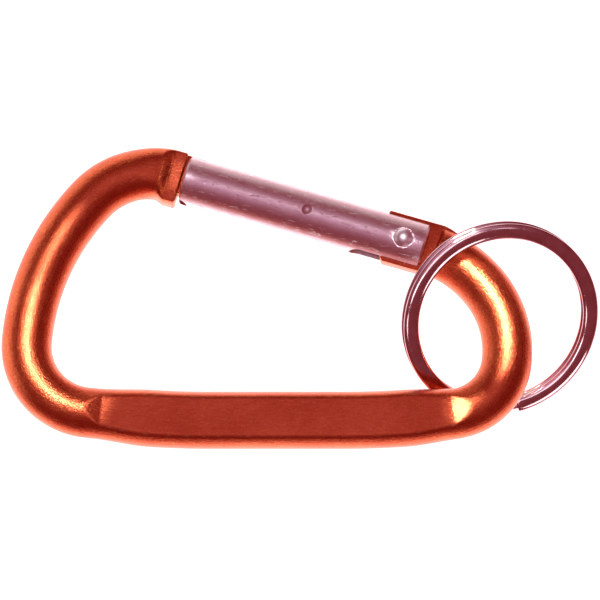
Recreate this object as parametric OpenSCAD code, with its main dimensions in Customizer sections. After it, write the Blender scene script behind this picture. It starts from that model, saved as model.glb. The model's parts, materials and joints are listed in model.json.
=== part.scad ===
// Carabiner keyring: a bent aluminium bar with a sprung tubular gate and a two-turn split ring.
// The carabiner lies in the XY plane. The origin is the centre of the upper flat of its straight spine.
// +X runs along the spine towards the gate's hinge, +Y from the spine towards the gate, +Z up.

/* [Bar] */
// Diameter of the round bar
bar_d = 7.6; // [7.4:0.1:7.8]

/* [Pressed spine] */
// Width of the bar across the pressed spine
spine_w = 8.6; // [8.4:0.1:8.8]
// Thickness between the two pressed flats
spine_t = 6.1; // [5.7:0.1:6.4]
// Length of the straight middle of the spine
mid_len = 20; // [19:0.5:22]
// Radius of the slight bow at either end of the spine
bow_r = 135; // [130:5:145]
// Sweep of each bow
bow_sweep = 5.8; // [5.6:0.1:6]
// How far each pressed flat runs on past the full width, at either end
flat_run = 2.7; // [2.4:0.1:3]
// Length of the ramp at each end of a flat
ramp_len = 2.4; // [1.8:0.1:3]

/* [Bends] */
// Straight run from the bowed spine to the first bend on the hinge side
run_hinge = 2.75; // [2.6:0.05:3]
// Bend radii on the hinge side, from the spine to the gate
hinge_radii = [9.04, 15.33, 17.76];
// Sweep of each bend on the hinge side
hinge_sweeps = [77.3, 42.9, 37.7];
// Straight run from the last hinge-side bend to the pivot
hinge_run = 3.43; // [3:0.05:4]
// Straight run from the bowed spine to the first bend on the nose side
run_nose = 4.8; // [4.6:0.05:5]
// Bend radii on the nose side, from the spine to the nose
nose_radii = [10.17, 36.4, 12.3];
// Sweep of the first bend on the nose side
nose_sweep = 89; // [88:0.1:90]

/* [Gate] */
// Outside diameter of the gate tube
tube_d = 7.4; // [7.3:0.1:7.5]
// Wall thickness of the gate tube
tube_wall = 0.8; // [0.75:0.05:0.85]
// Length of the tube from the pivot to its free end
tube_front = 34.25; // [34:0.05:34.3]
// Length of the tube from the pivot to its hinge end
tube_back = 3.4; // [3:0.1:3.6]
// How far the gate opens
gate_open = 40; // [30:1:40]

/* [Hinge tongue] */
// Thickness of the tongue at the hinge
tongue_t = 3; // [2.8:0.1:3.2]
// Width of the tongue at the hinge
tongue_w = 7.8; // [7.6:0.1:8]
// Distance from the pivot to the tongue's tip
tongue_tip = 3.2; // [3:0.1:3.4]
// Distance from the pivot back to the shoulder where the bar is round again
shoulder = 8.2; // [7.8:0.1:8.6]
// Follower travel per radian of gate movement
cam_rate = 1.5; // [1.3:0.1:1.6]

/* [Nose] */
// Distance from the pivot to the nose's end face
nose_face = 34.65; // [34.65:0.05:34.9]
// Thickness of the pressed nose
nose_t = 4.6; // [4.4:0.1:5]
// Width of the pressed nose
nose_w = 8.2; // [8:0.1:8.4]
// Length of the pressed nose before its ramp
nose_len = 1.95; // [1.8:0.05:2.2]
// Thickness of the tongue that the closed tube straddles
catch_t = 2.4; // [2.2:0.1:2.5]

/* [Rivet, follower and spring] */
// Diameter of the rivet's shank
rivet_d = 2; // [1.9:0.1:2]
// Diameter of each rivet head
rivet_head_d = 3; // [2.8:0.1:3.1]
// Wire diameter of the return spring
spring_wire = 0.6; // [0.5:0.05:0.65]
// Turns in the return spring
spring_turns = 7; // [6:1:8]

/* [Split ring] */
// Outside diameter of the split ring
ring_od = 30.2; // [29.8:0.1:30.6]
// Radial width of the ring's wire
wire_w = 2.35; // [2.2:0.05:2.4]
// Thickness of the ring's wire
wire_t = 1; // [0.9:0.05:1.05]
// Tilt of the ring out of the carabiner's plane
ring_tilt = 33; // [32:0.5:36]
// Direction in which the ring rises
ring_rise = 116; // [114:1:118]

/* [Hidden] */
$fn = 32;
// facets in a full turn of a swept bend, and of a coil of the split ring
bend_fn = 90;
coil_fn = 80;
// facets round the ends of the ring's wire section
wire_fn = 20;
// extra length by which a cutting shape passes the surface it cuts
over = 1;
flat_h = spine_t / 2;
bar_r = bar_d / 2;
spine_r = spine_w / 2;
// neighbouring stretches overlap by this much, and every other bend is thinner by a hair, so that they join cleanly
lap = 0.3;
hair = 0.02;
// the cone that leads from the pressed width back to the round bar
swell_len = 2.1;
swell_small_r = bar_r - 0.1;

// a place on the bar is [x, y, heading]; every bend turns left
function bend_end(p, r, a) = [
  p[0] + r * (sin(p[2] + a) - sin(p[2])),
  p[1] - r * (cos(p[2] + a) - cos(p[2])),
  p[2] + a
];

function run_end(p, length) = [p[0] + length * cos(p[2]), p[1] + length * sin(p[2]), p[2]];

// where the bow ends and the straight run to the first bend starts, the same on both sides
bow_end = bend_end([mid_len / 2, 0, 0], bow_r, bow_sweep);

// hinge side, from the spine to the pivot
h0 = run_end(bow_end, run_hinge);
h1 = bend_end(h0, hinge_radii[0], hinge_sweeps[0]);
h2 = bend_end(h1, hinge_radii[1], hinge_sweeps[1]);
h3 = bend_end(h2, hinge_radii[2], hinge_sweeps[2]);
pivot = run_end(h3, hinge_run);
// slope of the closed gate, falling from the nose to the hinge
gate_slope = 180 - h3[2];

// nose side, mirrored so that it too turns left: the last two bends are set to end on the gate's axis
n0 = run_end(bow_end, run_nose);
n1 = bend_end(n0, nose_radii[0], nose_sweep);
centre_2 = [n1[0] - nose_radii[1] * sin(n1[2]), n1[1] + nose_radii[1] * cos(n1[2])];
gate_out = [-sin(gate_slope), cos(gate_slope)];
gate_fwd = [cos(gate_slope), sin(gate_slope)];
off_axis = (centre_2 - [-pivot[0], pivot[1]]) * gate_out + nose_radii[2];
reach = sqrt(pow(nose_radii[1] - nose_radii[2], 2) - pow(off_axis, 2));
centre_3 = centre_2 - gate_out * off_axis + gate_fwd * reach;
to_3 = centre_3 - centre_2;
nose_turn = atan2(to_3[0], -to_3[1]);
n2 = bend_end(n1, nose_radii[1], nose_turn - n1[2]);

// gate
tube_r = tube_d / 2;
bore_r = tube_r - tube_wall;
edge = 0.3;
slot_gap = 0.2;
hinge_slot = tongue_t + 2 * slot_gap;
hinge_slot_out = 4.5;
hinge_slot_in = 7.5;
catch_slot = catch_t + 2 * slot_gap;
catch_slot_out = 4.3;
catch_slot_in = 1.4;
dimple_at = 15;
dimple_r = 1.2;
dimple_rise = 0.8;

// catch on the nose
catch_len = 3.5;
catch_stop = 0.15;
catch_flush = 0.15;
catch_corner = 0.8;
nose_drop = 0.35;
nose_ramp = 1.6;
nose_cone = 2;
nose_cone_shrink = 0.6;

// hinge tongue
tongue_flat = 5.5;
shoulder_ramp = 0.9;
tongue_corner = 0.35;
cam_steps = 8;
// how far the tongue's lower edge starts behind the end of the cam
cam_heel = 0.2;
// height of the tongue's outer edge where it leaves the shoulder
shoulder_out = 0.8 * bar_r;

// rivet
rivet_seat = tube_r - 0.35;
rivet_head_h = 0.75;
// how far the shank runs into each head
shank_lap = 0.1;
seat_gap = 0.1;
tongue_bore = 0.06;
tube_bore = 0.02;

// follower and spring
follower_gap = 0.05;
follower_r = bore_r - 0.08;
follower_len = 2.75;
stem_r = 1.7;
stem_len = 2.4;
spring_r = 2.2;
spring_lap = 2;
// the spring stands between the follower's shoulder and the inner bulges
spring_gap = 0.05;
bulge_reach = 0.85;
spring_start = tongue_tip + follower_gap + follower_len + spring_gap;
spring_end = dimple_at - bulge_reach;
// facets in a full turn of the spring, and round its wire
spring_fn = 40;
spring_wire_fn = 14;

// split ring
ring_x = 33.5;
ring_y = 15.55;
coil_r = (ring_od - wire_w) / 2;
coil_gap = 0.08;
coil_pitch = wire_t + coil_gap;
jog_from = 262;
jog_sweep = 20;
// degrees by which the jog runs into each coil, and how much thinner its wire is
jog_lap = 1;
jog_trim = 0.03;
end_gap = 2.5;

orange = [0.78, 0.24, 0.09];
satin = [0.72, 0.62, 0.66];
steel = [0.62, 0.6, 0.62];
nickel = [0.7, 0.66, 0.68];

// moves from the carabiner's middle plane to the flat that carries the origin
module in_plane() {
  translate([0, 0, -flat_h])
    children();
}

// the closed gate's own axes: pivot at the origin, +X towards the nose, +Y out of the carabiner, drawn mirrored
module on_gate() {
  mirror([1, 0, 0])
    translate([-pivot[0], pivot[1], 0])
      rotate([0, 0, gate_slope])
        children();
}

module at(p) {
  translate([p[0], p[1], 0])
    rotate([0, 0, p[2]])
      children();
}

// one bend of round section, starting at the origin along +X and turning left, with a lap at both ends
module bend(path_r, sweep, section_r) {
  extra = lap / path_r * 180 / PI;
  translate([0, path_r, 0])
    rotate([0, 0, -90 - extra])
      rotate_extrude(angle = sweep + 2 * extra, $fn = bend_fn)
        translate([path_r, 0])
          circle(r = section_r);
}

// section of the pressed spine: a disc with a flat above and below, made smaller all round by trim
module spine_section(trim) {
  intersection() {
    circle(r = spine_r - trim);
    square([2 * spine_w, spine_t - 2 * trim], center = true);
  }
}

module spine_middle() {
  rotate([90, 0, 90])
    linear_extrude(height = mid_len, center = true)
      spine_section(0);
  for (side = [0, 1])
    mirror([side, 0, 0])
      translate([mid_len / 2, bow_r, 0])
        rotate([0, 0, -90 - lap / bow_r * 180 / PI])
          rotate_extrude(angle = bow_sweep + lap / bow_r * 180 / PI, $fn = 4 * bend_fn)
            translate([bow_r, 0])
              spine_section(hair);
}

// from the full width back to the round bar, drawn from the end of the bow along +X
module spine_run(length) {
  rotate([0, 90, 0]) {
    translate([0, 0, -lap])
      cylinder(h = lap + swell_len, r1 = spine_r - 2 * hair, r2 = swell_small_r);
    translate([0, 0, -lap])
      cylinder(h = lap + length, r = bar_r);
  }
}

// what is pressed away at one end of both flats, drawn from the end of the bow along +X
module end_press() {
  top = bar_r + over;
  ramp_run = ramp_len * (top - flat_h) / (bar_r - flat_h);
  for (side = [0, 1])
    mirror([0, 0, side])
      rotate([90, 0, 0])
        linear_extrude(height = 3 * bar_d, center = true)
          polygon([[-over, flat_h], [flat_run, flat_h], [flat_run + ramp_run, top], [-over, top]]);
}

module hinge_side() {
  difference() {
    union() {
      at(bow_end)
        spine_run(run_hinge);
      at(h0)
        bend(hinge_radii[0], hinge_sweeps[0], bar_r - hair);
    }
    at(bow_end)
      end_press();
  }
  at(h1)
    bend(hinge_radii[1], hinge_sweeps[1], bar_r);
  difference() {
    at(h2)
      bend(hinge_radii[2], hinge_sweeps[2], bar_r - hair);
    on_gate()
      shoulder_cut();
  }
  on_gate()
    hinge_tongue();
}

// what is pressed away above and below the hinge tongue, from the shoulder forwards
module shoulder_cut() {
  lift = bar_r + over - tongue_t / 2;
  run = shoulder_ramp * lift / (bar_r - tongue_t / 2);
  for (side = [0, 1])
    mirror([0, 0, side])
      rotate([90, 0, 0])
        linear_extrude(height = 4 * bar_d, center = true)
          polygon([
            [-shoulder, tongue_t / 2],
            [tongue_tip + over, tongue_t / 2],
            [tongue_tip + over, tongue_t / 2 + lift],
            [-shoulder - run, tongue_t / 2 + lift]
          ]);
}

// cam edge of the tongue: its support distance grows in proportion to the gate's angle
function cam_point(a) =
  let (h = tongue_tip + cam_rate * a * PI / 180)
  [h * cos(a) - cam_rate * sin(a), -h * sin(a) - cam_rate * cos(a)];

module hinge_tongue() {
  half = tongue_w / 2;
  difference() {
    linear_extrude(height = tongue_t, center = true)
      polygon(concat(
        [[-tongue_flat, half]],
        [for (a = [90:-15:0]) [tongue_tip - tongue_corner + tongue_corner * cos(a),
          half - tongue_corner + tongue_corner * sin(a)]],
        [for (i = [0:cam_steps]) cam_point(gate_open * i / cam_steps)],
        [[cam_point(gate_open)[0] - cam_heel, -half], [-tongue_flat, -half]],
        [[-shoulder, -bar_r], [-shoulder, shoulder_out]]
      ));
    cylinder(h = tongue_t + 2 * over, r = rivet_d / 2 + tongue_bore, center = true);
  }
}

module nose_side() {
  mirror([1, 0, 0]) {
    difference() {
      union() {
        at(bow_end)
          spine_run(run_nose);
        at(n0)
          bend(nose_radii[0], nose_sweep, bar_r - hair);
      }
      at(bow_end)
        end_press();
    }
    at(n1)
      bend(nose_radii[1], nose_turn - n1[2], bar_r);
  }
  difference() {
    union() {
      mirror([1, 0, 0])
        at(n2)
          bend(nose_radii[2], 180 + gate_slope - nose_turn, bar_r - hair);
      on_gate()
        nose_block();
    }
    on_gate()
      nose_press();
  }
  on_gate()
    catch_tongue();
}

// the pressed end of the bar, a little wider than the bar towards the inside
module nose_block() {
  translate([nose_face, -nose_drop, 0])
    rotate([0, 90, 0]) {
      cylinder(h = nose_len, r = nose_w / 2);
      translate([0, 0, nose_len])
        cylinder(h = nose_cone, r1 = nose_w / 2, r2 = nose_w / 2 - nose_cone_shrink);
    }
}

module nose_press() {
  flat_end = nose_face + nose_len;
  rise = bar_r - nose_t / 2;
  for (side = [0, 1])
    mirror([0, 0, side])
      rotate([90, 0, 0])
        linear_extrude(height = 3 * bar_d, center = true)
          polygon([
            [nose_face - over, nose_t / 2],
            [flat_end, nose_t / 2],
            [flat_end + 2 * nose_ramp, nose_t / 2 + 2 * rise],
            [nose_face - over, nose_t / 2 + 2 * rise]
          ]);
}

// flat tongue that stands in the tube's slot when the gate is closed
module catch_tongue() {
  low = -sqrt(pow(bore_r, 2) - pow(catch_t / 2, 2)) + catch_stop;
  high = tube_r - catch_flush;
  tip = nose_face - catch_len;
  linear_extrude(height = catch_t, center = true)
    difference() {
      translate([tip, low])
        square([catch_len + nose_len / 2, high - low]);
      translate([tip, high - catch_corner])
        difference() {
          translate([-over, 0])
            square([catch_corner + over, catch_corner + over]);
          translate([catch_corner, 0])
            circle(r = catch_corner);
        }
    }
}

module frame() {
  color(orange)
    in_plane() {
      spine_middle();
      hinge_side();
      nose_side();
    }
}

// a slot through one wall, from the tube's end face to a round closed end, seen along the carabiner's plane
module wall_slot(x_open, x_end, width, side) {
  back = (x_end > x_open) ? x_end - width / 2 : x_end + width / 2;
  rotate([side * -90, 0, 0]) {
    translate([min(x_open, back), -width / 2, 0])
      cube([abs(back - x_open), width, tube_d]);
    translate([back, 0, 0])
      cylinder(h = tube_d, d = width);
  }
}

module tube_blank() {
  length = tube_front + tube_back;
  translate([-tube_back, 0, 0])
    rotate([0, 90, 0])
      rotate_extrude()
        polygon([
          [bore_r, 0],
          [tube_r - edge, 0],
          [tube_r, edge],
          [tube_r, length - edge],
          [tube_r - edge, length],
          [bore_r, length]
        ]);
}

module gate_tube() {
  color(satin)
    in_plane()
      on_gate() {
        difference() {
          tube_blank();
          wall_slot(-tube_back - over, hinge_slot_out, hinge_slot, 1);
          wall_slot(-tube_back - over, hinge_slot_in, hinge_slot, -1);
          wall_slot(tube_front + over, tube_front - catch_slot_out, catch_slot, 1);
          wall_slot(tube_front + over, tube_front - catch_slot_in, catch_slot, -1);
          cylinder(h = 2 * tube_d, r = rivet_d / 2 + tube_bore, center = true);
          for (side = [0, 1])
            mirror([0, 0, side]) {
              translate([0, 0, rivet_seat])
                cylinder(h = tube_d, r = rivet_head_d / 2 + seat_gap);
              translate([dimple_at, 0, tube_r + dimple_rise])
                sphere(r = dimple_r);
            }
        }
        spring_stops();
      }
}

// the inner bulge under each staked dimple, against which the spring rests
module spring_stops() {
  for (side = [0, 1])
    mirror([0, 0, side])
      intersection() {
        difference() {
          translate([dimple_at, 0, tube_r + dimple_rise])
            sphere(r = dimple_r + tube_wall);
          translate([dimple_at, 0, tube_r + dimple_rise])
            sphere(r = dimple_r);
        }
        translate([dimple_at - 2 * dimple_r, 0, 0])
          rotate([0, 90, 0])
            cylinder(h = 4 * dimple_r, r = bore_r + tube_wall / 4);
      }
}

module gate_rivet() {
  head_r = rivet_head_d / 2;
  dome_r = (head_r * head_r + rivet_head_h * rivet_head_h) / (2 * rivet_head_h);
  color(steel)
    in_plane()
      on_gate() {
        cylinder(h = 2 * (rivet_seat + shank_lap), d = rivet_d, center = true);
        for (side = [0, 1])
          mirror([0, 0, side])
            intersection() {
              translate([0, 0, rivet_seat + rivet_head_h - dome_r])
                sphere(r = dome_r);
              translate([0, 0, rivet_seat])
                cylinder(h = 2 * rivet_head_h, r = head_r);
            }
      }
}

module follower() {
  color(steel)
    in_plane()
      on_gate()
        translate([tongue_tip + follower_gap, 0, 0])
          rotate([0, 90, 0]) {
            cylinder(h = follower_len, r = follower_r);
            cylinder(h = follower_len + stem_len, r = stem_r);
          }
}

// each half turn is a tilted half ring, so the wire runs on smoothly into the next;
// every other one is thinner by a hair and laps into its neighbours
module return_spring() {
  rise = (spring_end - spring_start - spring_wire) / (2 * spring_turns);
  lean = asin(rise / (2 * spring_r));
  color(steel)
    in_plane()
      on_gate()
        translate([spring_start + spring_wire / 2, 0, 0])
          rotate([0, 90, 0])
            for (i = [0:2 * spring_turns - 1]) {
              lap_turn = (i % 2) * spring_lap;
              translate([0, 0, (i + 0.5) * rise])
                rotate([0, 0, 180 * i])
                  rotate([0, lean, 0])
                    rotate([0, 0, -lap_turn])
                      rotate_extrude(angle = 180 + 2 * lap_turn, $fn = spring_fn)
                        translate([spring_r, 0])
                          circle(d = spring_wire - (i % 2) * hair, $fn = spring_wire_fn);
            }
}

// flat wire with round edges, made smaller all round by trim
module wire_section(trim) {
  side = (wire_w - wire_t) / 2;
  for (s = [-1, 1])
    translate([coil_r + s * side, 0])
      circle(d = wire_t - 2 * trim, $fn = wire_fn);
  translate([coil_r, 0])
    square([2 * side, wire_t - 2 * trim], center = true);
}

module coil(from, sweep, height, trim) {
  translate([0, 0, height])
    rotate([0, 0, from])
      rotate_extrude(angle = sweep, $fn = coil_fn)
        wire_section(trim);
}

module split_ring() {
  jog_mid = jog_from + jog_sweep / 2;
  jog_lean = asin(coil_pitch / (2 * coil_r * sin(jog_sweep / 2)));
  color(nickel)
    in_plane()
      translate([ring_x, ring_y, 0])
        rotate(a = ring_tilt, v = [cos(ring_rise - 90), sin(ring_rise - 90), 0]) {
          coil(jog_from + jog_sweep + end_gap, 360 - jog_sweep - end_gap, coil_pitch / 2, 0);
          coil(jog_from + jog_sweep, 360 - jog_sweep - end_gap, -coil_pitch / 2, 0);
          rotate([0, 0, jog_mid])
            rotate([-jog_lean, 0, 0])
              coil(-jog_sweep / 2 - jog_lap, jog_sweep + 2 * jog_lap, 0, jog_trim);
        }
}

frame();
gate_tube();
gate_rivet();
follower();
return_spring();
split_ring();
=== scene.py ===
import json
import math

import bmesh
import bpy
import numpy as np
from mathutils import Matrix, Vector

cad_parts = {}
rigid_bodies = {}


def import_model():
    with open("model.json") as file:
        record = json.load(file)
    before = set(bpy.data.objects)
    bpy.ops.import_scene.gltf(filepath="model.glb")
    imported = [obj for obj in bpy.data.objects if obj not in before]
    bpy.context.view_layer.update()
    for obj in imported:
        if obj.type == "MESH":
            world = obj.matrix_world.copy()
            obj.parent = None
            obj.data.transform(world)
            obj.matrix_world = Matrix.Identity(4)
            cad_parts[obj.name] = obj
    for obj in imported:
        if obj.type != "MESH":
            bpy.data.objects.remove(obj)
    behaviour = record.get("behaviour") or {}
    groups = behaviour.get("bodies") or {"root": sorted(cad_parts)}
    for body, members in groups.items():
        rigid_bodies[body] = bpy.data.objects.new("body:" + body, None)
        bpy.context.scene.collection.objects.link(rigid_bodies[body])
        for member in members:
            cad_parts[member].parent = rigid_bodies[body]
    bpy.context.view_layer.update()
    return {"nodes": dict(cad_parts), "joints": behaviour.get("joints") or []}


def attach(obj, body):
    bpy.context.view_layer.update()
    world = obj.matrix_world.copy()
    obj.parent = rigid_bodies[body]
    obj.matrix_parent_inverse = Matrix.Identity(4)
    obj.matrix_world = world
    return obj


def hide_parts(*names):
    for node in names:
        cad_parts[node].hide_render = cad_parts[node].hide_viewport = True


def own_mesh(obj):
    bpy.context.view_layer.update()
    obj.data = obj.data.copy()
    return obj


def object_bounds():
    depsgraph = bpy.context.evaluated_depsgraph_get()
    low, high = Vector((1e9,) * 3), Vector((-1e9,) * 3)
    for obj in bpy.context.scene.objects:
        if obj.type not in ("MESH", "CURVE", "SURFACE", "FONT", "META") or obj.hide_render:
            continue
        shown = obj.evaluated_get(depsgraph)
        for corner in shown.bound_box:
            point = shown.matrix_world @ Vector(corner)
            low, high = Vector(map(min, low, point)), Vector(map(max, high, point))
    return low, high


# Lengths are in millimetres for the meshes and textures, and in metres for the floor, lamps and camera.
MM = 0.001

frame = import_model()
joints = {j["name"]: j for j in frame["joints"]}
pivot = Vector(joints["gate_pivot"]["pos_m"]) / MM
forward = Vector(joints["follower_slide"]["axis"]).normalized()
outward = Vector((-forward.y, forward.x, 0))
if outward.y < 0:
    outward.negate()
ring_centre = Vector(joints["ring_swing"]["pos_m"]) / MM
ring_axis = Vector(joints["ring_swing"]["axis"]).normalized()
mid_z = pivot.z

# The bar, as it is bent: straight middle, slight bow, short run, then three bends to the gate's line.
BAR_R = 3.8
SPINE_R = 4.3
FLAT_H = 3.05
MID_HALF = 10.0
BOW_R, BOW_SWEEP = 135.0, 5.8
FLAT_RUN, RAMP_NOSE, RAMP_HINGE = 2.7, 2.3, 2.8
HINGE_PARTS = [(2.75, 0), (9.04, 77.3), (15.33, 42.9), (17.76, 37.7), (3.43, 0)]
RUN_NOSE = 4.8
NOSE_RADII = (10.17, 36.4, 12.3)
NOSE_SWEEP = 89.0
NOSE_FACE = 34.65
NOSE_H, NOSE_FLAT_END, NOSE_RAMP, NOSE_SWELL = 2.3, 36.55, 1.65, 0.32
NOSE_SQUARE = 1.0
# the nose side's path runs on this far past its last bend
NOSE_TAIL = 20.0
# past this distance along the bar, either way, the section belongs to the nose or the hinge
FAR_END = 60
SHOULDER, TONGUE_H, TONGUE_HALF, TONGUE_TIP = 8.2, 1.5, 3.9, 3.2
CAM_RATE, GATE_OPEN = 1.5, math.radians(40)

# The return spring, measured from the pivot along the gate tube's axis.
SPRING_R, SPRING_WIRE, SPRING_TURNS = 2.2, 0.6, 7
SPRING_START, SPRING_END = 6.05, 14.15

# edges that turn by more than this stay sharp
SHARP_ANGLE = math.radians(35)


# ---------------------------------------------------------------- meshes


def make_piece(name, body, verts, faces, uv, edge, mat):
    """A mesh from millimetre points, with its UV in millimetres and an "edge" value that marks worn edges."""
    mesh = bpy.data.meshes.new(name)
    mesh.from_pydata([(x * MM, y * MM, z * MM) for x, y, z in verts], [], faces)
    layer = mesh.uv_layers.new(name="along")
    for loop in mesh.loops:
        layer.data[loop.index].uv = uv[loop.vertex_index]
    attribute = mesh.attributes.new("edge", "FLOAT", "POINT")
    attribute.data.foreach_set("value", np.asarray(edge, np.float32))
    work = bmesh.new()
    work.from_mesh(mesh)
    bmesh.ops.recalc_face_normals(work, faces=work.faces)
    work.to_mesh(mesh)
    work.free()
    mesh.polygons.foreach_set("use_smooth", [True] * len(mesh.polygons))
    mesh.update()
    mesh.set_sharp_from_angle(angle=SHARP_ANGLE)
    piece = bpy.data.objects.new(name, mesh)
    bpy.context.scene.collection.objects.link(piece)
    piece.data.materials.append(mat)
    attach(piece, body)
    return piece


def rows_to_faces(rows, around):
    """Quads between consecutive closed rings of points."""
    faces = []
    for i in range(rows - 1):
        for j in range(around):
            a = i * around + j
            b = i * around + (j + 1) % around
            faces.append((a, b, b + around, a + around))
    return faces


def smin(a, b, k):
    """The smaller of a and b, rounded over a width k where they meet."""
    gap = np.maximum(k - np.abs(a - b), 0)
    return np.minimum(a, b) - gap * gap / (4 * k)


def soft_plus(x, k):
    """Zero below 0 and x above it, rounded over a width k."""
    return np.where(x <= -k, 0.0, np.where(x >= k, x, (x + k) ** 2 / (4 * k)))


def step_up(x, low, high):
    """A smooth step from 0 at low to 1 at high."""
    t = min(max((x - low) / (high - low), 0.0), 1.0)
    return t * t * (3 - 2 * t)


# ---------------------------------------------------------------- the bar's centre line


def walk(parts, distance):
    """Point and heading at a distance along straight runs (length, 0) and left-hand arcs (radius, degrees)."""
    x = y = heading = 0.0
    for i, (size, sweep) in enumerate(parts):
        length = size if sweep == 0 else size * math.radians(sweep)
        # the last part runs on as far as it is asked to
        part = distance if i == len(parts) - 1 else min(distance, length)
        if sweep == 0:
            x += part * math.cos(heading)
            y += part * math.sin(heading)
        else:
            turn = part / size
            x += size * (math.sin(heading + turn) - math.sin(heading))
            y -= size * (math.cos(heading + turn) - math.cos(heading))
            heading += turn
        distance -= part
        if distance <= 1e-9:
            break
    return x, y, heading


def total(parts):
    return sum(size if sweep == 0 else size * math.radians(sweep) for size, sweep in parts)


SPINE_PARTS = [(MID_HALF, 0), (BOW_R, BOW_SWEEP)]
hinge_path = SPINE_PARTS + HINGE_PARTS
flat_end = total(SPINE_PARTS) + FLAT_RUN


def nose_path():
    """The nose side, mirrored so that it turns left; its last two bends end on the gate's line."""
    first = SPINE_PARTS + [(RUN_NOSE, 0), (NOSE_RADII[0], NOSE_SWEEP)]
    x, y, heading = walk(first, total(first))
    centre = Vector((x - NOSE_RADII[1] * math.sin(heading), y + NOSE_RADII[1] * math.cos(heading)))
    slope = math.atan2(forward.y, -forward.x)
    out = Vector((-math.sin(slope), math.cos(slope)))
    fwd = Vector((math.cos(slope), math.sin(slope)))
    off = (centre - Vector((-pivot.x, pivot.y))).dot(out) + NOSE_RADII[2]
    reach = math.sqrt((NOSE_RADII[1] - NOSE_RADII[2]) ** 2 - off**2)
    last = centre - out * off + fwd * reach
    to = last - centre
    turn = math.degrees(math.atan2(to.x, -to.y))
    second = turn - math.degrees(heading)
    third = 180 + math.degrees(slope) - turn
    return first + [(NOSE_RADII[1], second), (NOSE_RADII[2], third), (NOSE_TAIL, 0)]


nose_side = nose_path()
nose_bend_end = total(nose_side) - NOSE_TAIL


def bar_at(s):
    """Centre point, outward and along directions; s runs from the nose (below 0) through the spine to the hinge."""
    if s >= 0:
        x, y, h = walk(hinge_path, s)
        return (x, y), (math.sin(h), -math.cos(h)), (math.cos(h), math.sin(h))
    x, y, h = walk(nose_side, -s)
    return (-x, y), (-math.sin(h), -math.cos(h)), (math.cos(h), -math.sin(h))


def gate_uv(x, y):
    """Distances from the pivot along the gate and outward from it."""
    dx, dy = x - pivot.x, y - pivot.y
    return dx * forward.x + dy * forward.y, dx * outward.x + dy * outward.y


def bar_stations():
    px, py, _ = walk(nose_side, nose_bend_end)
    u_end, _ = gate_uv(-px, py)
    nose_s = -(nose_bend_end + u_end - NOSE_FACE)
    hinge_s = total(hinge_path) - 3.6
    marks = [np.arange(nose_s + 0.3, hinge_s, 0.42)]
    for centre, half in ((-flat_end - 1.2, 2.6), (flat_end + 1.2, 2.6), (hinge_s - 5, 1.6), (nose_s + 3.2, 1.8)):
        marks.append(np.arange(centre - half, centre + half, 0.11))
    s = np.unique(np.concatenate(marks + [[nose_s + 0.3, hinge_s]]))
    s = s[(s >= nose_s + 0.3) & (s <= hinge_s)]
    keep = [s[0]]
    for value in s[1:]:
        if value - keep[-1] > 0.05:
            keep.append(value)
    return nose_s, keep


AROUND = 144
LIP = 0.38


def bar_ring(s):
    """One ring of the bar's skin: points, edge values. The section is a disc pressed softly between flats."""
    (cx, cy), (ox, oy), _ = bar_at(s)
    phi = np.radians(-90) + np.arange(AROUND) * 2 * math.pi / AROUND
    a = abs(s)
    r = BAR_R + (SPINE_R - BAR_R) * (1 - step_up(a, flat_end - 7.5, flat_end + 1.2))
    swell = 0.0
    if s < -nose_bend_end + 6:
        u0, _ = gate_uv(cx, cy)
        swell = NOSE_SWELL * (1 - step_up(u0, NOSE_FLAT_END, NOSE_FLAT_END + 2.4))
    power = 2.0
    if s < -FAR_END:
        u0, _ = gate_uv(cx, cy)
        power = 2.0 + NOSE_SQUARE * (1 - step_up(u0, NOSE_FLAT_END + 0.6, NOSE_FLAT_END + 5.5))
    across, up = np.cos(phi), np.sin(phi)
    q = (r + swell) * np.sign(across) * np.abs(across) ** (2 / power) - swell
    z = (r + swell) * np.sign(up) * np.abs(up) ** (2 / power)
    x, y = cx + ox * q, cy + oy * q
    u, v = gate_uv(x, y)
    ramp = RAMP_HINGE if s > 0 else RAMP_NOSE
    h = FLAT_H + (BAR_R - FLAT_H) / ramp * soft_plus(np.full(AROUND, a - flat_end), 0.25)
    k = np.full(AROUND, LIP * (1 - 0.6 * step_up(a, flat_end - 0.4, flat_end + 0.7)))
    if s > FAR_END:
        h = TONGUE_H - 0.04 + (BAR_R - TONGUE_H) / 0.9 * soft_plus(-SHOULDER - u, 0.15)
        k = np.full(AROUND, 0.3)
    if s < -FAR_END:
        share = soft_plus(u - NOSE_FLAT_END, 0.2) / NOSE_RAMP
        share = smin(share, 1.0, 0.16)
        h = NOSE_H + np.maximum(np.abs(z) + 0.35 - NOSE_H, 0) * share
        k = np.full(AROUND, 0.32)
    size = np.abs(z)
    edge = np.clip(1 - np.abs(size - h) / k, 0, 1)
    z = np.sign(z) * smin(size, h, k)
    return x, y, z, edge, phi * r


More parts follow.
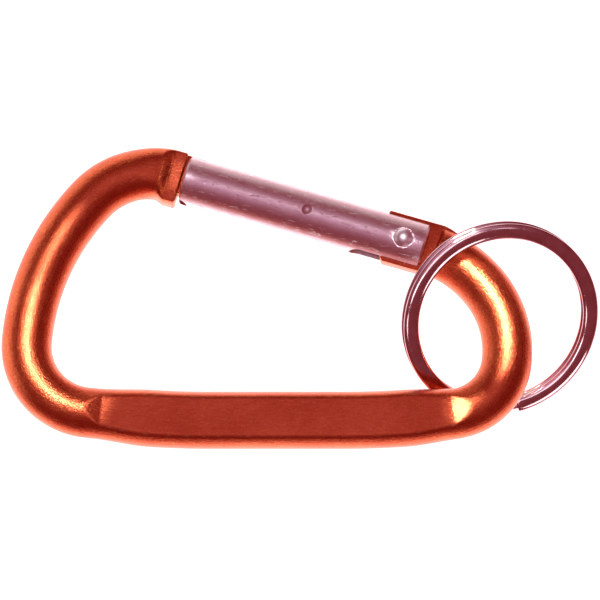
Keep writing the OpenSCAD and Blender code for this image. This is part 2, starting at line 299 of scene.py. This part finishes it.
def build_bar():
    nose_s, stations = bar_stations()
    verts, uv, edges = [], [], []

    def add(x, y, z, edge, s, arc):
        verts.extend(zip(x, y, z + mid_z))
        uv.extend((s, t) for t in arc)
        edges.extend(edge)

    # the nose's end face, with its rim rounded, from the middle outwards
    x, y, z, edge, arc = bar_ring(stations[0])
    (cx, cy), _, (tx, ty) = bar_at(stations[0])
    for share in (0.02, 0.3, 0.6, 0.85):
        s = nose_s - stations[0]
        add(cx + (x - cx) * share + tx * s, cy + (y - cy) * share + ty * s, z * share, edge * 0, nose_s, arc)
    round_r = 0.3
    for turn in (80, 60, 40, 20):
        inset = round_r * (1 - math.cos(math.radians(turn)))
        s = -round_r * math.sin(math.radians(turn))
        share = 1 - inset / 3.4
        add(cx + (x - cx) * share + tx * s, cy + (y - cy) * share + ty * s, z * share, edge * 0 + 0.9, nose_s, arc)
    for s in stations:
        x, y, z, edge, arc = bar_ring(s)
        add(x, y, z, edge, s, arc)
    rows = len(verts) // AROUND
    faces = rows_to_faces(rows, AROUND)
    faces.append(tuple(reversed(range(AROUND))))
    faces.append(tuple(range((rows - 1) * AROUND, rows * AROUND)))
    return verts, faces, uv, edges


def plate(outline, half, bevel, hole=0.0):
    """A plate in the gate's own axes, with bevelled rims and an optional bore at the pivot, in millimetres."""
    bm = bmesh.new()
    ring = [bm.verts.new((u, v, -half)) for u, v in outline]
    face = bm.faces.new(ring)
    made = bmesh.ops.extrude_face_region(bm, geom=[face])
    top = [e for e in made["geom"] if isinstance(e, bmesh.types.BMVert)]
    bmesh.ops.translate(bm, verts=top, vec=(0, 0, 2 * half))
    bmesh.ops.recalc_face_normals(bm, faces=bm.faces)
    rims = [e for e in bm.edges if abs(e.verts[0].co.z - e.verts[1].co.z) < 1e-6]
    bmesh.ops.bevel(bm, geom=rims, offset=bevel, segments=3, profile=0.5, affect="EDGES", clamp_overlap=True)
    mesh = bpy.data.meshes.new("plate")
    bm.to_mesh(mesh)
    bm.free()
    made = bpy.data.objects.new("plate", mesh)
    bpy.context.scene.collection.objects.link(made)
    if hole:
        bm = bmesh.new()
        bmesh.ops.create_cone(bm, cap_ends=True, segments=64, radius1=hole, radius2=hole, depth=6 * half)
        tool_mesh = bpy.data.meshes.new("bore")
        bm.to_mesh(tool_mesh)
        bm.free()
        tool = bpy.data.objects.new("bore", tool_mesh)
        bpy.context.scene.collection.objects.link(tool)
        cut = made.modifiers.new("bore", "BOOLEAN")
        cut.operation = "DIFFERENCE"
        cut.object = tool
        cut.solver = "EXACT"
        bpy.context.view_layer.update()
        done = bpy.data.meshes.new_from_object(made.evaluated_get(bpy.context.evaluated_depsgraph_get()))
        bpy.data.objects.remove(tool)
    else:
        done = mesh.copy()
    verts = [tuple(v.co) for v in done.vertices]
    faces = [tuple(p.vertices) for p in done.polygons]
    bpy.data.objects.remove(made)
    points = [
        (
            pivot.x + forward.x * u + outward.x * v,
            pivot.y + forward.y * u + outward.y * v,
            mid_z + z,
        )
        for u, v, z in verts
    ]
    uv = [(u, v) for u, v, z in verts]
    edge = [0.8 if half - bevel * 0.9 < abs(z) < half - 0.01 else 0.1 for u, v, z in verts]
    return points, faces, uv, edge


def cam_point(a):
    h = TONGUE_TIP + CAM_RATE * a
    return h * math.cos(a) - CAM_RATE * math.sin(a), -h * math.sin(a) - CAM_RATE * math.cos(a)


def tongue_outline():
    corner = 0.35
    points = [(-8.45, 2.9), (-7.6, 3.3), (-6.5, 3.68), (-5.5, TONGUE_HALF)]
    for a in range(90, -1, -15):
        points.append(
            (
                TONGUE_TIP - corner + corner * math.cos(math.radians(a)),
                TONGUE_HALF - corner + corner * math.sin(math.radians(a)),
            )
        )
    points += [cam_point(GATE_OPEN * i / 8) for i in range(9)]
    points += [(cam_point(GATE_OPEN)[0] - 0.2, -TONGUE_HALF), (-5.5, -TONGUE_HALF), (-8.45, -3.9)]
    return points


def catch_outline():
    low, high, tip, corner = -2.49, 3.55, NOSE_FACE - 3.5, 0.8
    points = [(tip, low)]
    for a in range(180, 89, -15):
        turn = math.radians(a)
        points.append((tip + corner + corner * math.cos(turn), high - corner + corner * math.sin(turn)))
    return points + [(NOSE_FACE + 1, high), (NOSE_FACE + 1, low)]


# ---------------------------------------------------------------- the split ring

RING_OD, WIRE_W, WIRE_T = 30.2, 2.35, 1.0
RING_TILT = 33
COIL_PITCH = 1.08
RING_START, RING_JOG, JOG_SWEEP, RING_END = 284.5, 622.0, 20.0, 979.5
COIL_SHIFT = 0.12


def build_ring():
    turn = Matrix.Rotation(math.radians(RING_TILT), 3, ring_axis)
    coil_r = (RING_OD - WIRE_W) / 2
    around = 44
    power = 2.15
    a, b = WIRE_W / 2, WIRE_T / 2
    section = []
    for j in range(around):
        t = 2 * math.pi * j / around
        c, s = math.cos(t), math.sin(t)
        section.append(
            (
                a * math.copysign(abs(c) ** (2 / power), c),
                b * math.copysign(abs(s) ** (2 / power), s),
            )
        )
    degree_mm = coil_r * math.pi / 180
    stations = list(np.linspace(RING_START, RING_END, 700))
    rows = []
    for k, share in ((0, 0.04), (0, 0.5), (0, 0.82), (0.08, 0.93), (0.2, 0.98)):
        rows.append((RING_START + k / degree_mm, share))
    rows += [(t, 1.0) for t in stations if RING_START + 0.35 / degree_mm < t < RING_END - 0.35 / degree_mm]
    for k, share in ((0.2, 0.98), (0.08, 0.93), (0, 0.82), (0, 0.5), (0, 0.04)):
        rows.append((RING_END - k / degree_mm, share))
    verts, uv, edge = [], [], []
    for theta, share in rows:
        down = step_up(theta, RING_JOG, RING_JOG + JOG_SWEEP)
        height = COIL_PITCH / 2 - COIL_PITCH * down
        r = math.radians(theta)
        radial = Vector((math.cos(r), math.sin(r), 0))
        shift = Vector((math.cos(math.radians(140)), math.sin(math.radians(140)), 0)) * COIL_SHIFT * down
        for j, (w, t) in enumerate(section):
            p = radial * (coil_r + w * share) + shift + Vector((0, 0, height + t * share))
            p = turn @ p + ring_centre
            verts.append(tuple(p))
            uv.append((theta * degree_mm, j * 6.0 / around))
            edge.append(max(0.0, 1 - abs(abs(w) / a - 0.9) * 8))
    faces = rows_to_faces(len(rows), around)
    faces.append(tuple(reversed(range(around))))
    last = (len(rows) - 1) * around
    faces.append(tuple(range(last, last + around)))
    return verts, faces, uv, edge


def build_spring():
    """A round wire wound round the gate tube's axis, from the follower to the fixed end."""
    around, steps = 14, 40 * SPRING_TURNS
    up = Vector((0, 0, 1))
    rise = SPRING_END - SPRING_START - SPRING_WIRE
    verts, uv, edge = [], [], []
    for i in range(steps + 1):
        t = 2 * math.pi * SPRING_TURNS * i / steps
        radial = outward * math.sin(t) - up * math.cos(t)
        tangent = (outward * math.cos(t) + up * math.sin(t)) * SPRING_R + forward * rise / (2 * math.pi * SPRING_TURNS)
        side = tangent.normalized().cross(radial)
        centre = pivot + forward * (SPRING_START + SPRING_WIRE / 2 + rise * i / steps) + radial * SPRING_R
        for j in range(around):
            a = 2 * math.pi * j / around
            verts.append(tuple(centre + (radial * math.cos(a) + side * math.sin(a)) * SPRING_WIRE / 2))
            uv.append((SPRING_R * t, j * math.pi * SPRING_WIRE / around))
            edge.append(0.0)
    faces = rows_to_faces(steps + 1, around)
    faces.append(tuple(reversed(range(around))))
    faces.append(tuple(range(steps * around, (steps + 1) * around)))
    return verts, faces, uv, edge


# ---------------------------------------------------------------- materials


class Shader:
    """A small helper that adds nodes to one material."""

    def __init__(self, name):
        self.mat = bpy.data.materials.new(name)
        self.mat.use_nodes = True
        self.tree = self.mat.node_tree
        self.bsdf = self.tree.nodes["Principled BSDF"]

    def node(self, kind, inputs=None, **settings):
        n = self.tree.nodes.new(kind)
        for key, value in settings.items():
            setattr(n, key, value)
        for key, value in (inputs or {}).items():
            self.put(n.inputs[key], value)
        return n

    def put(self, socket, value):
        if isinstance(value, bpy.types.NodeSocket):
            self.tree.links.new(value, socket)
        else:
            socket.default_value = value

    def uv(self, scale):
        source = self.node("ShaderNodeUVMap", uv_map="along")
        return self.scaled(source.outputs[0], scale)

    def body(self, scale, spin=(0, 0, 0)):
        """The object's own coordinates in millimetres, turned and then scaled."""
        source = self.node("ShaderNodeTexCoord")
        to_mm = (1000, 1000, 1000)
        turned = self.node("ShaderNodeMapping", {"Vector": source.outputs["Object"], "Rotation": spin, "Scale": to_mm})
        return self.scaled(turned.outputs[0], scale)

    def scaled(self, vector, scale):
        return self.node("ShaderNodeVectorMath", {0: vector, 1: scale}, operation="MULTIPLY").outputs[0]

    def noise(self, vector, scale=1.0, detail=3.0, rough=0.55, distortion=0.0):
        n = self.node(
            "ShaderNodeTexNoise",
            {"Vector": vector, "Scale": scale, "Detail": detail, "Roughness": rough, "Distortion": distortion},
        )
        return n.outputs["Fac"]

    def band(self, value, low, high, to_low=0.0, to_high=1.0):
        n = self.node(
            "ShaderNodeMapRange",
            {"Value": value, "From Min": low, "From Max": high, "To Min": to_low, "To Max": to_high},
            interpolation_type="SMOOTHSTEP",
        )
        return n.outputs[0]

    def calc(self, kind, a, b):
        return self.node("ShaderNodeMath", {0: a, 1: b}, operation=kind).outputs[0]

    def blend(self, factor, a, b):
        n = self.node("ShaderNodeMix", data_type="RGBA")
        self.put(n.inputs[0], factor)
        self.put(n.inputs[6], a)
        self.put(n.inputs[7], b)
        return n.outputs[2]

    def edge(self):
        return self.node("ShaderNodeAttribute", attribute_name="edge").outputs["Fac"]

    def bump(self, height, distance_mm, strength=1.0, below=None):
        inputs = {"Height": height, "Distance": distance_mm * MM, "Strength": strength}
        if below is not None:
            inputs["Normal"] = below
        return self.node("ShaderNodeBump", inputs).outputs[0]

    def set(self, **values):
        for key, value in values.items():
            self.put(self.bsdf.inputs[key.replace("_", " ")], value)


def rgb(r, g, b):
    return (r, g, b, 1.0)


def anodised():
    s = Shader("anodised_orange")
    large = s.noise(s.body((1, 1, 1)), 0.11, 3, 0.5)
    medium = s.noise(s.body((1, 1, 1)), 0.7, 4, 0.6)
    grain = s.noise(s.body((1, 1, 1)), 6.5, 3, 0.65)
    speck = s.noise(s.body((1, 1, 1)), 2.2, 2, 0.7)
    fleck = s.band(s.noise(s.body((1, 1, 1)), 3.0, 1, 0.5), 0.6, 0.7)
    drawn = s.noise(s.uv((0.16, 5.5, 1)), 1.0, 4, 0.6)
    scratch = s.band(s.noise(s.uv((0.35, 9.0, 1)), 1.0, 2, 0.5, 0.4), 0.66, 0.72)
    colour = s.blend(s.band(large, 0.35, 0.65), rgb(0.7, 0.12, 0.05), rgb(0.8, 0.162, 0.068))
    colour = s.blend(s.band(medium, 0.3, 0.7, 0.0, 0.35), colour, rgb(0.58, 0.07, 0.018))
    colour = s.blend(s.band(grain, 0.45, 0.75, 0.0, 0.4), colour, rgb(0.92, 0.26, 0.06))
    colour = s.blend(s.calc("MULTIPLY", fleck, 0.35), colour, rgb(0.98, 0.36, 0.1))
    worn = s.calc("MULTIPLY", s.band(s.edge(), 0.35, 1.0), s.band(medium, 0.5, 0.68))
    colour = s.blend(s.calc("MULTIPLY", worn, 0.55), colour, rgb(0.93, 0.52, 0.27))
    colour = s.blend(s.calc("MULTIPLY", scratch, 0.25), colour, rgb(0.95, 0.42, 0.16))
    rough = s.calc("ADD", s.band(grain, 0.2, 0.8, 0.24, 0.34), s.calc("MULTIPLY", s.calc("ADD", scratch, worn), 0.1))
    rough = s.calc("ADD", rough, s.band(s.edge(), 0.1, 0.9, 0.0, 0.1))
    rough = s.calc("ADD", rough, s.band(drawn, 0.3, 0.7, -0.03, 0.05))
    normal = s.bump(grain, 0.03, 0.8)
    normal = s.bump(speck, 0.075, 0.9, normal)
    normal = s.bump(drawn, 0.003, 0.2, normal)
    normal = s.bump(scratch, -0.004, 0.5, normal)
    s.set(Base_Color=colour, Metallic=1.0, Roughness=rough, Normal=normal)
    s.bsdf.inputs["Coat Weight"].default_value = 0.08
    s.bsdf.inputs["Coat Roughness"].default_value = 0.3
    return s.mat


def satin():
    s = Shader("satin_aluminium")
    slope = math.atan2(forward.y, forward.x)
    spin = (0, 0, -slope)
    lines = s.noise(s.body((0.12, 7.0, 7.0), spin), 1.0, 4, 0.6)
    fine = s.noise(s.body((0.5, 16.0, 16.0), spin), 1.0, 3, 0.6)
    blotch = s.noise(s.body((1, 1, 1)), 0.55, 4, 0.6)
    grain = s.noise(s.body((1, 1, 1)), 5.0, 3, 0.6)
    scratch = s.band(s.noise(s.body((0.7, 3.2, 3.2), spin), 1.0, 2, 0.5, 0.9), 0.63, 0.7)
    nick = s.band(s.noise(s.body((1, 1, 1)), 1.7, 3, 0.7, 0.6), 0.6, 0.72)
    colour = s.blend(s.band(blotch, 0.3, 0.7), rgb(0.9, 0.68, 0.74), rgb(0.97, 0.82, 0.87))
    colour = s.blend(s.band(lines, 0.35, 0.7, 0.0, 0.5), colour, rgb(0.86, 0.74, 0.8))
    colour = s.blend(s.calc("MULTIPLY", scratch, 0.8), colour, rgb(1.0, 0.96, 0.98))
    colour = s.blend(s.calc("MULTIPLY", nick, 0.6), colour, rgb(1.0, 0.97, 0.99))
    rough = s.calc("ADD", s.band(fine, 0.3, 0.7, 0.32, 0.42), s.band(grain, 0.3, 0.8, 0.0, 0.06))
    rough = s.calc("SUBTRACT", rough, s.calc("MULTIPLY", nick, 0.24))
    normal = s.bump(lines, 0.008, 0.5)
    normal = s.bump(grain, 0.004, 0.6, normal)
    normal = s.bump(scratch, -0.03, 0.8, normal)
    normal = s.bump(nick, 0.01, 0.5, normal)
    s.set(Base_Color=colour, Metallic=1.0, Roughness=rough, Normal=normal)
    return s.mat


def plated(name, dark, light, low, high):
    """Plain plated metal between two shades, with its roughness from low to high."""
    s = Shader(name)
    blotch = s.noise(s.body((1, 1, 1)), 0.8, 4, 0.6)
    grain = s.noise(s.body((1, 1, 1)), 7.0, 3, 0.6)
    pit = s.band(s.noise(s.body((1, 1, 1)), 2.4, 2, 0.5), 0.68, 0.74)
    colour = s.blend(s.band(blotch, 0.3, 0.7), dark, light)
    colour = s.blend(s.calc("MULTIPLY", pit, 0.5), colour, rgb(0.3, 0.22, 0.22))
    rough = s.calc("ADD", s.band(grain, 0.3, 0.7, low, high), s.calc("MULTIPLY", pit, 0.15))
    normal = s.bump(grain, 0.004, 0.4)
    normal = s.bump(pit, -0.01, 0.5, normal)
    s.set(Base_Color=colour, Metallic=1.0, Roughness=rough, Normal=normal)
    return s.mat


def ring_nickel():
    s = Shader("nickel_wire")
    lines = s.noise(s.uv((0.1, 6.0, 1)), 1.0, 4, 0.6)
    blotch = s.noise(s.body((1, 1, 1)), 0.5, 4, 0.6)
    pit = s.band(s.noise(s.body((1, 1, 1)), 2.0, 2, 0.5), 0.68, 0.74)
    colour = s.blend(s.band(blotch, 0.3, 0.7), rgb(0.7, 0.46, 0.5), rgb(0.84, 0.6, 0.64))
    worn = s.calc("MULTIPLY", s.band(s.edge(), 0.3, 1.0), s.band(blotch, 0.45, 0.65))
    colour = s.blend(s.calc("MULTIPLY", worn, 0.4), colour, rgb(0.9, 0.84, 0.84))
    colour = s.blend(s.calc("MULTIPLY", pit, 0.4), colour, rgb(0.3, 0.2, 0.2))
    rough = s.calc("ADD", s.band(lines, 0.3, 0.7, 0.06, 0.12), s.calc("MULTIPLY", pit, 0.15))
    normal = s.bump(lines, 0.003, 0.4)
    normal = s.bump(pit, -0.008, 0.5, normal)
    s.set(Base_Color=colour, Metallic=1.0, Roughness=rough, Normal=normal)
    return s.mat


# ---------------------------------------------------------------- pieces

orange = anodised()
bar = build_bar()
parts = [bar, plate(tongue_outline(), TONGUE_H, 0.22, hole=1.06), plate(catch_outline(), 1.2, 0.15)]
verts, faces, uv, edge = [], [], [], []
for p_verts, p_faces, p_uv, p_edge in parts:
    start = len(verts)
    verts += p_verts
    faces += [tuple(i + start for i in f) for f in p_faces]
    uv += p_uv
    edge += list(p_edge)
carabiner_bar = make_piece("carabiner_bar", "carabiner", verts, faces, uv, edge, orange)
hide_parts("frame")

verts, faces, uv, edge = build_ring()
wire = make_piece("ring_wire", "ring", verts, faces, uv, edge, ring_nickel())
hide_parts("split_ring")

# the coil takes the CAD spring's place, rides with the gate and keeps a mesh of its own
verts, faces, uv, edge = build_spring()
spring_steel = plated("spring_steel", rgb(0.42, 0.4, 0.42), rgb(0.6, 0.58, 0.6), 0.2, 0.35)
spring_coil = make_piece("spring_coil", "gate", verts, faces, uv, edge, spring_steel)
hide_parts("return_spring")
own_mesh(spring_coil)

nodes = frame["nodes"]
finishes = {
    "gate_tube": satin(),
    "gate_rivet": plated("bright_rivet", rgb(0.84, 0.76, 0.84), rgb(0.93, 0.87, 0.93), 0.34, 0.46),
    "follower": plated("zinc_follower", rgb(0.5, 0.48, 0.5), rgb(0.66, 0.64, 0.66), 0.3, 0.45),
}
for name, mat in finishes.items():
    nodes[name].data.materials.clear()
    nodes[name].data.materials.append(mat)

# ---------------------------------------------------------------- stage, light and camera

scene = bpy.context.scene
low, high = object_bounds()
FLOOR_GAP = 0.0002
floor_z = low.z - FLOOR_GAP
floor_mesh = bpy.data.meshes.new("floor")
half = 1.5
floor_mesh.from_pydata([(-half, -half, 0), (half, -half, 0), (half, half, 0), (-half, half, 0)], [], [(0, 1, 2, 3)])
floor = bpy.data.objects.new("floor", floor_mesh)
floor.location = (0, 0, floor_z)
scene.collection.objects.link(floor)
paper = Shader("white_paper")
tone = paper.noise(paper.body((1, 1, 1)), 0.05, 3, 0.5)
paper.set(Base_Color=paper.blend(tone, rgb(0.9, 0.9, 0.9), rgb(0.94, 0.94, 0.94)), Roughness=0.9)
paper.bsdf.inputs["Emission Color"].default_value = rgb(1, 1, 1)
paper.bsdf.inputs["Emission Strength"].default_value = 1.0
floor.data.materials.append(paper.mat)
floor.visible_glossy = False

world = bpy.data.worlds.new("studio")
scene.world = world
world.use_nodes = True
wt = world.node_tree
back = wt.nodes["Background"]
coords = wt.nodes.new("ShaderNodeTexCoord")
split = wt.nodes.new("ShaderNodeSeparateXYZ")
wt.links.new(coords.outputs["Generated"], split.inputs[0])
ramp = wt.nodes.new("ShaderNodeValToRGB")
spread = wt.nodes.new("ShaderNodeMapRange")
spread.inputs["From Min"].default_value = -1
spread.inputs["From Max"].default_value = 1
wt.links.new(split.outputs["Z"], spread.inputs["Value"])
wt.links.new(spread.outputs[0], ramp.inputs[0])
stops = [
    (0.0, (1.9, 1.75, 1.75)),
    (0.22, (1.9, 1.65, 1.65)),
    (0.32, (1.0, 0.5, 0.55)),
    (0.42, (0.27, 0.06, 0.07)),
    (0.6, (0.2, 0.035, 0.04)),
    (0.84, (0.23, 0.05, 0.06)),
    (0.93, (0.3, 0.1, 0.13)),
    (0.97, (0.5, 0.26, 0.35)),
    (1.0, (0.7, 0.41, 0.55)),
]
elements = ramp.color_ramp.elements
elements[0].position, elements[0].color = stops[0][0], rgb(*stops[0][1])
elements[1].position, elements[1].color = stops[-1][0], rgb(*stops[-1][1])
for place, value in stops[1:-1]:
    elements.new(place).color = rgb(*value)
# a white card low on the far left
side = wt.nodes.new("ShaderNodeMapRange")
side.interpolation_type = "SMOOTHSTEP"
side.inputs["From Min"].default_value, side.inputs["From Max"].default_value = 0.35, 0.65
toward = wt.nodes.new("ShaderNodeVectorMath")
toward.operation = "DOT_PRODUCT"
toward.inputs[1].default_value = (-0.76, 0.65, 0)
wt.links.new(coords.outputs["Generated"], toward.inputs[0])
wt.links.new(toward.outputs["Value"], side.inputs["Value"])
low_part = wt.nodes.new("ShaderNodeMapRange")
low_part.interpolation_type = "SMOOTHSTEP"
low_part.inputs["From Min"].default_value, low_part.inputs["From Max"].default_value = 0.4, 0.1
wt.links.new(split.outputs["Z"], low_part.inputs["Value"])
card = wt.nodes.new("ShaderNodeMath")
card.operation = "MULTIPLY"
wt.links.new(side.outputs[0], card.inputs[0])
wt.links.new(low_part.outputs[0], card.inputs[1])
sky = wt.nodes.new("ShaderNodeMix")
sky.data_type = "RGBA"
wt.links.new(card.outputs[0], sky.inputs[0])
wt.links.new(ramp.outputs[0], sky.inputs[6])
sky.inputs[7].default_value = rgb(1.4, 1.25, 1.25)
plain = wt.nodes.new("ShaderNodeBackground")
plain.inputs["Color"].default_value = rgb(0.93, 0.93, 0.93)
wt.links.new(sky.outputs[2], back.inputs["Color"])
seen = wt.nodes.new("ShaderNodeLightPath")
mix = wt.nodes.new("ShaderNodeMixShader")
wt.links.new(seen.outputs["Is Camera Ray"], mix.inputs[0])
wt.links.new(back.outputs[0], mix.inputs[1])
wt.links.new(plain.outputs[0], mix.inputs[2])
wt.links.new(mix.outputs[0], wt.nodes["World Output"].inputs["Surface"])


def lamp(name, place, target, size, watts):
    """A round soft card that faces its target; every length is in metres."""
    light = bpy.data.lights.new(name, "AREA")
    light.shape = "DISK"
    light.size = size
    light.energy = watts
    made = bpy.data.objects.new(name, light)
    made.location = place
    made.rotation_mode = "QUATERNION"
    made.rotation_quaternion = (Vector(target) - Vector(place)).to_track_quat("-Z", "Y")
    scene.collection.objects.link(made)
    return made


ELEVATION = math.radians(78)
FIELD = 0.09009
LENS, SENSOR = 600.0, 36.0
aim = Vector((0.003453, 0.01842, mid_z * MM))
back_dir = Vector((0, -math.cos(ELEVATION), math.sin(ELEVATION)))
camera_data = bpy.data.cameras.new("camera")
camera_data.lens = LENS
camera_data.sensor_width = SENSOR
camera = bpy.data.objects.new("camera", camera_data)
camera.location = aim + back_dir * (FIELD * LENS / SENSOR)
camera.rotation_mode = "QUATERNION"
camera.rotation_quaternion = (-back_dir).to_track_quat("-Z", "Y")
camera_data.clip_start = 0.01
camera_data.clip_end = 10
camera_data.dof.use_dof = False
scene.collection.objects.link(camera)
scene.camera = camera

# the direction from which a level face throws light at the camera
MIRROR = (0, math.cos(ELEVATION), math.sin(ELEVATION))
# how far a lamp stands from what it lights, in metres
LAMP_AWAY = 0.5
# the bar's crown above the middle plane
CROWN = BAR_R * MM


def spot(name, x, y, z, towards, reach, watts, away=LAMP_AWAY):
    """A narrow spot that lights only a soft round patch; every length is in metres."""
    place = Vector((x, y, mid_z * MM + z))
    light = bpy.data.lights.new(name, "SPOT")
    light.energy = watts
    light.spot_size = 2 * math.atan(reach / away)
    light.spot_blend = 1.0
    light.shadow_soft_size = 0.001
    made = bpy.data.objects.new(name, light)
    made.location = place + Vector(towards).normalized() * away
    made.rotation_mode = "QUATERNION"
    made.rotation_quaternion = (place - made.location).to_track_quat("-Z", "Y")
    scene.collection.objects.link(made)


spot("half_moon", 0.0284, 0.001, 0.0034, (-0.48, 0.208, 0.852), 0.0036, 3.3, 0.25)
for k, lean in enumerate((-0.1, 0.0, 0.1)):
    towards = (lean, MIRROR[1], MIRROR[2])
    spot("left_bend_%d" % k, -0.0384, 0.0072, CROWN, towards, 0.0153, 2.9)
    spot("bow_%d" % k, -0.0342, 0.0235, CROWN, towards, 0.011, 1.0)
    spot("right_bend_%d" % k, 0.033, 0.0178, CROWN, towards, 0.0125, 5.6)
spot("rivet", pivot.x * MM, pivot.y * MM, CROWN, MIRROR, 0.0018, 0.7, 0.2)
spot("nose_ramp", -0.0165, 0.0368, 0.003, (0.9, -0.1, 0.43), 0.005, 0.25, 0.3)
spot("nose_flat", -0.0147, 0.0371, 0.0023, MIRROR, 0.003, 0.25, 0.3)

# soft cards that only the wire reflects, placed for a slope of its domed face at an angle around the ring
wire_only = bpy.data.collections.new("wire_only")
wire_only.objects.link(wire)
turn = Matrix.Rotation(math.radians(RING_TILT), 3, ring_axis)
for angle, slope, size, watts in (
    (90, 15, 0.06, 0.01),
    (112, 15, 0.08, 0.025),
    (135, 15, 0.16, 0.085),
    (158, 16, 0.1, 0.06),
    (182, 17, 0.08, 0.03),
    (135, -14, 0.18, 0.18),
):
    radial = turn @ Vector((math.cos(math.radians(angle)), math.sin(math.radians(angle)), 0))
    normal = turn @ Vector((0, 0, 1)) * math.cos(math.radians(slope)) + radial * math.sin(math.radians(slope))
    towards = 2 * normal.dot(back_dir) * normal - back_dir
    target = ring_centre * MM
    card_lamp = lamp("wire_card_%d_%d" % (angle, slope), target + towards * LAMP_AWAY, target, size, watts)
    card_lamp.light_linking.receiver_collection = wire_only

tube_only = bpy.data.collections.new("tube_only")
tube_only.objects.link(nodes["gate_tube"])
tube_place = pivot * MM + forward * 0.016
tube_lamp = lamp("tube_card", tube_place + Vector((0, 0.13, 0.99)) * LAMP_AWAY, tube_place, 0.09, 0.048)
tube_lamp.light_linking.receiver_collection = tube_only

for o in scene.objects:
    if o.type == "LIGHT":
        o.visible_camera = False

scene.view_settings.view_transform = "Standard"
scene.view_settings.look = "None"
scene.view_settings.exposure = 0
scene.view_settings.gamma = 1
